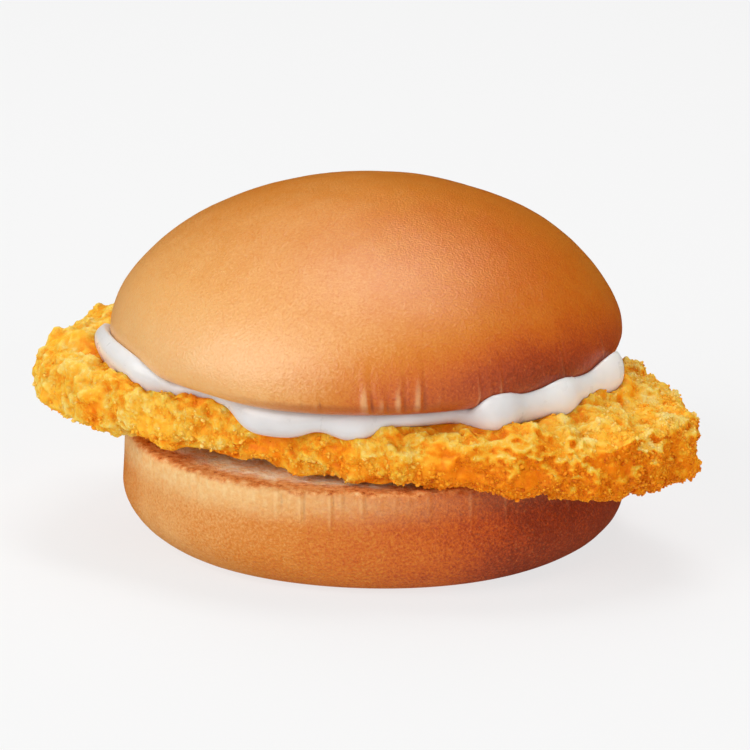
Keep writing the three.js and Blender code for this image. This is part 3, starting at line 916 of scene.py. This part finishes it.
sauce_rings = []
for share in SAUCE_FLOOR_SHARES:
    sauce_rings.append(sauce_ring((inner - SAUCE_BEAD) * share, lambda floor: floor))
for turn in np.linspace(-0.5, 0.5, SAUCE_BEAD_RINGS) * math.pi:
    radius = inner + SAUCE_BEAD * math.cos(turn)
    share = (1 + math.sin(turn)) / 2
    low = (1 - share) * (edge["sag"] + SAUCE_SINK)
    top = sauce_top(radius)
    sauce_rings.append(sauce_ring(radius, lambda floor: floor * (1 - share) - low + top * share))
for step, wanted in enumerate((slope_start, CROWN_CUT_RADIUS - 0.5, SAUCE_TOP_RADIUS, 0)):
    radius = np.minimum(wanted, inner - 0.4 * (step + 1))
    sauce_rings.append(sauce_ring(radius, lambda floor: sauce_top(radius)))
sauce_rings = np.array(sauce_rings)
sauce = closed_skin("mayonnaise_layer", sauce_rings)
sauce_x = sauce_rings[..., 0]
sides = (LIT_ON_RIGHT, LIT_ON_LEFT)
store(sauce, "thick", sum(side["share"] * smoothstep(sauce_x, *side["step"]) for side in sides))

sauce_finish = Finish(
    "mayonnaise",
    {
        "Specular IOR Level": 0.5,
        "Coat Roughness": 0.12,
        "Subsurface Weight": 0.4,
        "Subsurface Radius": (1.0, 0.85, 0.7),
        "Subsurface Scale": 1.8 * MM,
    },
)
# The sauce's tone is greyer in the middle, painted shade under the crown's overhang, and whiter at both ends,
# painted light
sauce_tone = sauce_finish.shades(
    sauce_finish.noise(6, detail=3),
    (0.3, colour(212, 209, 207)),
    (0.7, colour(221, 219, 218)),
)
sauce_tone = sauce_finish.mixed(sauce_finish.measure("thick"), sauce_tone, colour(240, 237, 232))
sauce_finish.surface(
    base_color=sauce_tone,
    roughness=sauce_finish.noise(3, detail=3) * 0.15 + 0.22,
    normal=sauce_finish.relief(sauce_finish.noise(1.6), distance=0.06),
)
sauce.data.materials.append(sauce_finish.material)
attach(sauce, "root")
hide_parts("mayonnaise")

# Crown bun: the domed upper half of the bun, about 102 mm across, laid on top. Its thin baked skin has a soft
# sheen and very fine pores, turns in under itself at the cut edge, and has small pleats just above it. Its
# colour carries painted shade, darker to the right and low at the front.
CROWN_DOME_HEIGHT = 29.2
CROWN_DOME_POWERS = {"up": 1.84, "out": 1.9}
CROWN_BULGE = {"at": 0, "spread": 60, "out": -0.7, "height": 52, "depth": 9}
CROWN_TURNS = 900
CROWN_CURVE_STEPS = {"skirt": 13, "dome": 60}
CROWN_SPACING = {"edge": 0.4, "cut_face": 6, "dome": 0.9}
CROWN_EDGE_HEIGHT = 8
CROWN_EDGE_INNER_RADIUS = 44
CROWN_PLEATS = [
    (-88.8, 0.8, 6, 0.6),
    (-85.6, 0.7, 4, 0.5),
    (-81.7, 0.8, 6, 0.6),
    (-77.3, 0.8, 7, 0.6),
    (-73, 0.6, 4, 0.35),
    (-64.5, 0.4, 6, 0.4),
    (-61.5, 0.35, 5, 0.35),
    (-58.6, 0.4, 6, 0.35),
    (-40.6, 0.6, 7, 0.3),
    (-24, 0.5, 7, 0.3),
    (-100, 0.5, 3, 0.3),
    (-104, 0.4, 4, 0.25),
    (-108, 0.4, 3, 0.2),
]
CROWN_SMALL_PLEATS = {"count": 60, "seed": 12, "depth": 0.08}
CROWN_SKIN = [(0.14, 11, 15), (0.05, 4, 16), (0.02, 1.6, 17)]
CROWN_PATCHES = [(0.05, 26, 18)]
# How brown the skin is baked, from 0 to 1, with painted shade: in the middle, for each mm to the right, on
# the dome's top and its left shoulder, low at the front, and on the right. The darkening to the right, low at
# the front and on the right is painted shade for the sides away from the lights.
CROWN_BAKE_AND_SHADE = {"middle": 0.38, "each_mm": 0.006, "top": 0.12, "shoulder": 0.05, "low": 0.3, "right": 0.06}
# The share by which the painted shade to the right and low at the front fades towards the back
CROWN_BACK_PALER = 0.5
# Zones of the skin, each fading in from one place to another in mm: along X, to the back along Y, and along Z
CROWN_ZONES = {
    "left": (-10, -35),
    "off_right": (35, 10),
    "right_shade_band": ((15, 30), (48, 38)),
    "low_middle_shade": ((-25, 5), (35, 48)),
    "back": (-25, 8),
    "dome": (42, 70),
    "low": (53, 41),
}
# The painted shade low at the front is this much weaker on the right
CROWN_LOW_RIGHT_PALER = 0.4
CROWN_DARK_PATCH = {"at": -59, "spread": 13, "height": 46, "depth": 6, "more": 0.07}
# A darker line round the cut edge: where it starts to fade and is gone in mm above the cut, and the
# directions that it shows in
CROWN_RIM = {"whole": 2, "gone": 3.2, "at": -90, "spread": 28}
CROWN_RIM_WOBBLE = [(0.35, 5, 19), (0.2, 1.6, 20)]

crown_side = [(0, CROWN_CUT_HEIGHT), (CROWN_CUT_RADIUS * 0.9, CROWN_CUT_HEIGHT)]
for turn in np.linspace(0, math.pi / 2, CROWN_CURVE_STEPS["skirt"]):
    radius = CROWN_CUT_RADIUS + (CROWN_RADIUS - CROWN_CUT_RADIUS) * math.sin(turn)
    crown_side.append((radius, CROWN_CUT_HEIGHT + CROWN_SKIRT_HEIGHT * (1 - math.cos(turn))))
for turn in np.linspace(0, math.pi / 2, CROWN_CURVE_STEPS["dome"])[1:]:
    up = min(math.sin(turn), 1)
    share = max(1 - up ** CROWN_DOME_POWERS["up"], 0) ** (1 / CROWN_DOME_POWERS["out"])
    height = CROWN_CUT_HEIGHT + CROWN_SKIRT_HEIGHT + CROWN_DOME_HEIGHT * up
    crown_side.append((CROWN_RADIUS * share, height))


def crown_spacing(radius, height):
    """Rings lie closest at the cut edge and its pleats."""
    if height < CROWN_CUT_HEIGHT + CROWN_EDGE_HEIGHT:
        return CROWN_SPACING["edge"] if radius > CROWN_EDGE_INNER_RADIUS else CROWN_SPACING["cut_face"]
    return CROWN_SPACING["dome"]


crown_outline = spaced(crown_side, crown_spacing)
crown_rings, crown_angles = turned(crown_outline, CROWN_TURNS)
crown_rings = out_of_round(crown_rings, crown_outline, crown_angles, CROWN_CUT_HEIGHT, CROWN_BULGE)
crown_out = ring_normals(crown_rings)
above_cut = crown_outline[:, 1:2] - CROWN_CUT_HEIGHT
all_crown_pleats = CROWN_PLEATS + small_pleats(**CROWN_SMALL_PLEATS)
crown_pleats = pleated(crown_rings, crown_angles, above_cut - 1.0, CROWN_RADIUS, all_crown_pleats)
crown_pleats = crown_pleats * smoothstep(above_cut, 0.2, 1.5)
crown_skin = layered(crown_rings, CROWN_SKIN) * smoothstep(above_cut, 0, 0.8)
crown_rings = crown_rings + crown_out * (crown_skin + crown_pleats)[..., None]
tuck = CROWN_TUCK["up"] * lobe_share(crown_angles, CROWN_TUCK["at"], CROWN_TUCK["spread"])
crown_rings[..., 2] += tuck * (1 - smoothstep(above_cut, 2, 10))
crown_rings[..., :2] += CROWN_CENTRE

crown = closed_skin("crown_bread", crown_rings)
crown_x, crown_y, crown_z = np.moveaxis(crown_rings, -1, 0)
# Over the baked brown, painted shade darkens the skin to the right, low at the front and in a band on the
# right
served = 1 - CROWN_BACK_PALER * smoothstep(crown_y, *CROWN_ZONES["back"])
dome_up = smoothstep(crown_z, *CROWN_ZONES["dome"])
off_left, on_right = [smoothstep(crown_x, *step) for step in CROWN_ZONES["low_middle_shade"]]
low_middle_shade = smoothstep(crown_z, *CROWN_ZONES["low"]) * off_left * (1 - CROWN_LOW_RIGHT_PALER * on_right)
right_shade_band = math.prod(smoothstep(crown_x, *step) for step in CROWN_ZONES["right_shade_band"])
dark_patch = lobe_share(crown_angles, CROWN_DARK_PATCH["at"], CROWN_DARK_PATCH["spread"])
dark_patch = dark_patch * band(crown_z, CROWN_DARK_PATCH["height"], CROWN_DARK_PATCH["depth"])
crown_bake_and_shade = CROWN_BAKE_AND_SHADE["middle"] + CROWN_BAKE_AND_SHADE["each_mm"] * crown_x * served
crown_bake_and_shade = crown_bake_and_shade + CROWN_BAKE_AND_SHADE["top"] * dome_up * smoothstep(crown_x, *CROWN_ZONES["off_right"])
crown_bake_and_shade = crown_bake_and_shade + CROWN_BAKE_AND_SHADE["shoulder"] * dome_up * smoothstep(crown_x, *CROWN_ZONES["left"])
crown_bake_and_shade = crown_bake_and_shade + CROWN_BAKE_AND_SHADE["low"] * low_middle_shade * served + CROWN_BAKE_AND_SHADE["right"] * right_shade_band
crown_bake_and_shade = crown_bake_and_shade + CROWN_DARK_PATCH["more"] * dark_patch + layered(crown_rings, CROWN_PATCHES)
store(crown, "bake", crown_bake_and_shade)
store(crown, "pleat", crown_pleats)
above_rim = crown_z - CROWN_CUT_HEIGHT + layered(crown_rings, CROWN_RIM_WOBBLE)
rim_line = 1 - smoothstep(above_rim, CROWN_RIM["whole"], CROWN_RIM["gone"])
store(crown, "rim", rim_line * lobe_share(crown_angles, CROWN_RIM["at"], CROWN_RIM["spread"]))

crown_sheen = {"Specular IOR Level": 1.0, "Coat Weight": 0.2, "Coat Roughness": 0.38}
crown_finish = Finish("crown_bread", {**bread_constants, **crown_sheen})
crown_tone, crown_grain, crown_dry = bread_skin(crown_finish, coarse=0.46)
crown_tone = crown_finish.mixed(crown_finish.measure("rim") * 0.6, crown_tone, colour(170, 82, 34))
crown_rough = crown_finish.noise(0.9, detail=3) * 0.12 + crown_dry * 0.08 + 0.28
crown_bump = crown_finish.relief(crown_grain, distance=0.2)
crown_finish.surface(base_color=crown_tone, roughness=crown_rough, normal=crown_bump)
crown.data.materials.append(crown_finish.material)
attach(crown, "root")
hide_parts("crown_bun")
